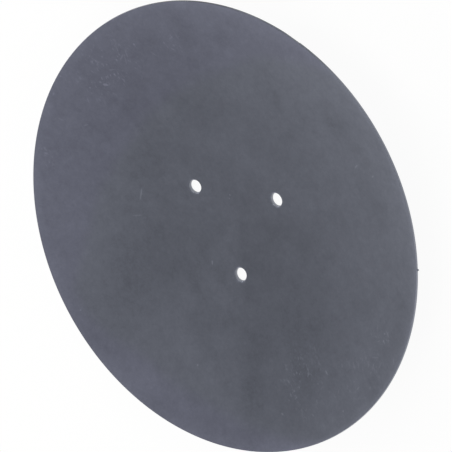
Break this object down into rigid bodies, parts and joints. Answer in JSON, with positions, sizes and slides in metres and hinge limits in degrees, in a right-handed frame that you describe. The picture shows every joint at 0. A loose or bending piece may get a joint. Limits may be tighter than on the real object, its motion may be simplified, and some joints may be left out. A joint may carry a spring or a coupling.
{
  "type": "seed drill disc",
  "caption": "Round dished steel disc with a ground rim and plain bolt holes round its axis, which cuts the seed furrow on a drill.",
  "frame": {"origin": "lowest point of the convex side, on the disc's axis", "axes": "+Z along the disc's axis, out of the hollow; one bolt hole lies towards -Y"},
  "size_m": [0.325, 0.325, 0.029],
  "materials": {
    "hardened_steel": "dark blue-grey heat-treated boron steel, satin, lightly scuffed"
  },
  "bodies": {
    "root": {"seed_drill_disc": "hardened_steel"}
  },
  "joints": []
}
